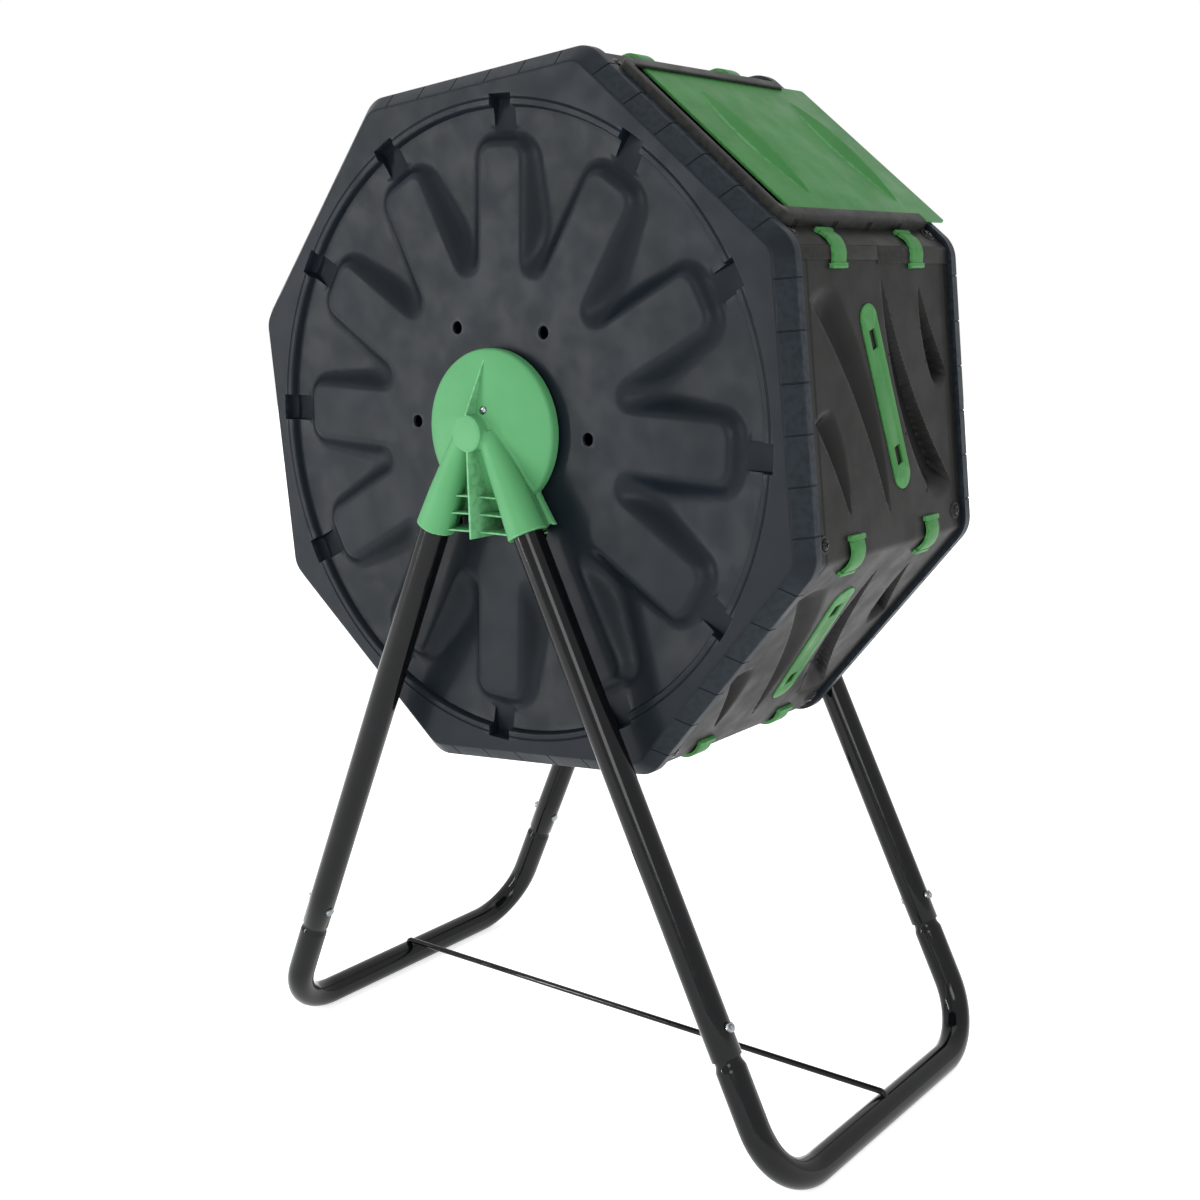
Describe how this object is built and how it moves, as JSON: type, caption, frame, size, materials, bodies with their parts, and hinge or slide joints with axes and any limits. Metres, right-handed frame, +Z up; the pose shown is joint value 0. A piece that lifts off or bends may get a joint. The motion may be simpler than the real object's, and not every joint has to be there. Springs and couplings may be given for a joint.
{
  "type": "compost tumbler",
  "caption": "Eight-sided compost drum that turns on a splayed steel tube stand, with a sliding door, vented panels and corner clips.",
  "frame": {"origin": "on the ground, under the middle of the axle", "axes": "+Z up, Y along the axle with the hub face of the picture's side at -Y, +X towards the side of the drum that the picture shows"},
  "size_m": [0.657, 0.4048, 0.9793],
  "materials": {
    "cap_plastic": "injection-moulded black polypropylene, fine even texture, bluish black",
    "panel_plastic": "injection-moulded recycled black polypropylene, fine even texture, slightly warm",
    "green_plastic": "injection-moulded green polypropylene, satin",
    "tube_steel": "gloss black powder coat on steel tube and rod",
    "zinc_steel": "bright zinc-plated steel"
  },
  "bodies": {
    "stand": {"axle": "zinc_steel", "base_tube_left": "tube_steel", "base_tube_right": "tube_steel", "cross_rod": "tube_steel", "hub_bracket_far": "green_plastic", "hub_bracket_near": "green_plastic", "hub_screw_far": "zinc_steel", "hub_screw_near": "zinc_steel", "leg_bolt_far_left": "zinc_steel", "leg_bolt_far_right": "zinc_steel", "leg_bolt_near_left": "zinc_steel", "leg_bolt_near_right": "zinc_steel", "leg_far_left": "tube_steel", "leg_far_right": "tube_steel", "leg_near_left": "tube_steel", "leg_near_right": "tube_steel"},
    "drum": {"clip_112_far": "green_plastic", "clip_112_near": "green_plastic", "clip_157_far": "green_plastic", "clip_157_near": "green_plastic", "clip_202_far": "green_plastic", "clip_202_near": "green_plastic", "clip_22_far": "green_plastic", "clip_22_near": "green_plastic", "clip_247_far": "green_plastic", "clip_247_near": "green_plastic", "clip_292_far": "green_plastic", "clip_292_near": "green_plastic", "clip_337_far": "green_plastic", "clip_337_near": "green_plastic", "clip_67_far": "green_plastic", "clip_67_near": "green_plastic", "door_frame": "panel_plastic", "end_cap_far": "cap_plastic", "end_cap_near": "cap_plastic", "panel_0": "panel_plastic", "panel_135": "panel_plastic", "panel_180": "panel_plastic", "panel_225": "panel_plastic", "panel_270": "panel_plastic", "panel_315": "panel_plastic", "panel_90": "panel_plastic", "vent_strip_0": "green_plastic", "vent_strip_135": "green_plastic", "vent_strip_180": "green_plastic", "vent_strip_225": "green_plastic", "vent_strip_270": "green_plastic", "vent_strip_315": "green_plastic", "vent_strip_90": "green_plastic"},
    "door": {"door": "green_plastic"}
  },
  "joints": [
    {"name": "drum_spin", "type": "hinge", "parent": "stand", "child": "drum", "pos_m": [0, 0, 0.654], "axis": [0, 1, 0], "continuous": true},
    {"name": "door_slide", "type": "slide", "parent": "drum", "child": "door", "axis": [0, 1, 0], "range_m": [-0.02, 0.305]}
  ]
}
